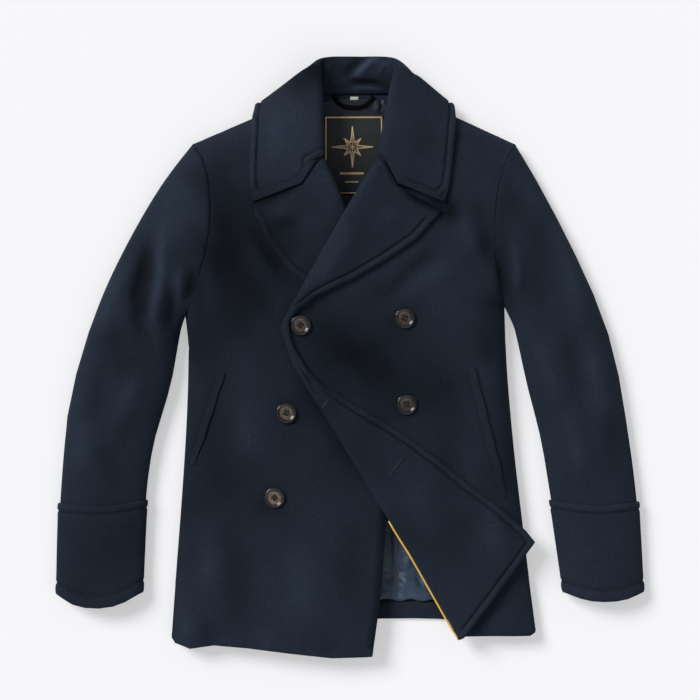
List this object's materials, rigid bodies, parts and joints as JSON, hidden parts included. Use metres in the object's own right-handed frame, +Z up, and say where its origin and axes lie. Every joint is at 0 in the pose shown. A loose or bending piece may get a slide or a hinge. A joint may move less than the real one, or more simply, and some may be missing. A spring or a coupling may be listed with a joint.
{
  "type": "pea coat",
  "caption": "Double-breasted wool pea coat laid flat on its back, wide collar and lapels, turn-back cuffs, one button done up and the lower front folded open",
  "frame": {"origin": "middle of the laid coat's bounding box, on the surface it lies on", "axes": "+Z up from the surface to the fronts, +Y from hem to collar, +X to the wearer's left"},
  "size_m": [0.8258, 0.8424, 0.0744],
  "materials": {
    "wool": "matt navy melton",
    "satin": "soft sheen",
    "piping": "golden satin sheen",
    "label": "woven",
    "horn": "semi-gloss mottled dark brown"
  },
  "bodies": {
    "root": {"back": "wool", "front_left": "wool", "front_right": "wool", "sleeve_upper_right": "wool", "sleeve_under_right": "wool", "sleeve_upper_left": "wool", "sleeve_under_left": "wool", "facing_left": "wool", "facing_right": "wool", "cuff_right": "wool", "cuff_left": "wool", "collar_upper": "wool", "collar_under": "wool", "lining_back": "satin", "pocket_welt_right": "wool", "pocket_welt_left": "wool", "button_1": "horn", "button_2": "horn", "button_3": "horn", "button_4": "horn", "button_5": "horn", "button_6": "horn", "neck_label": "label", "size_tag": "label", "hanger_loop": "satin", "piping": "piping"}
  },
  "joints": []
}
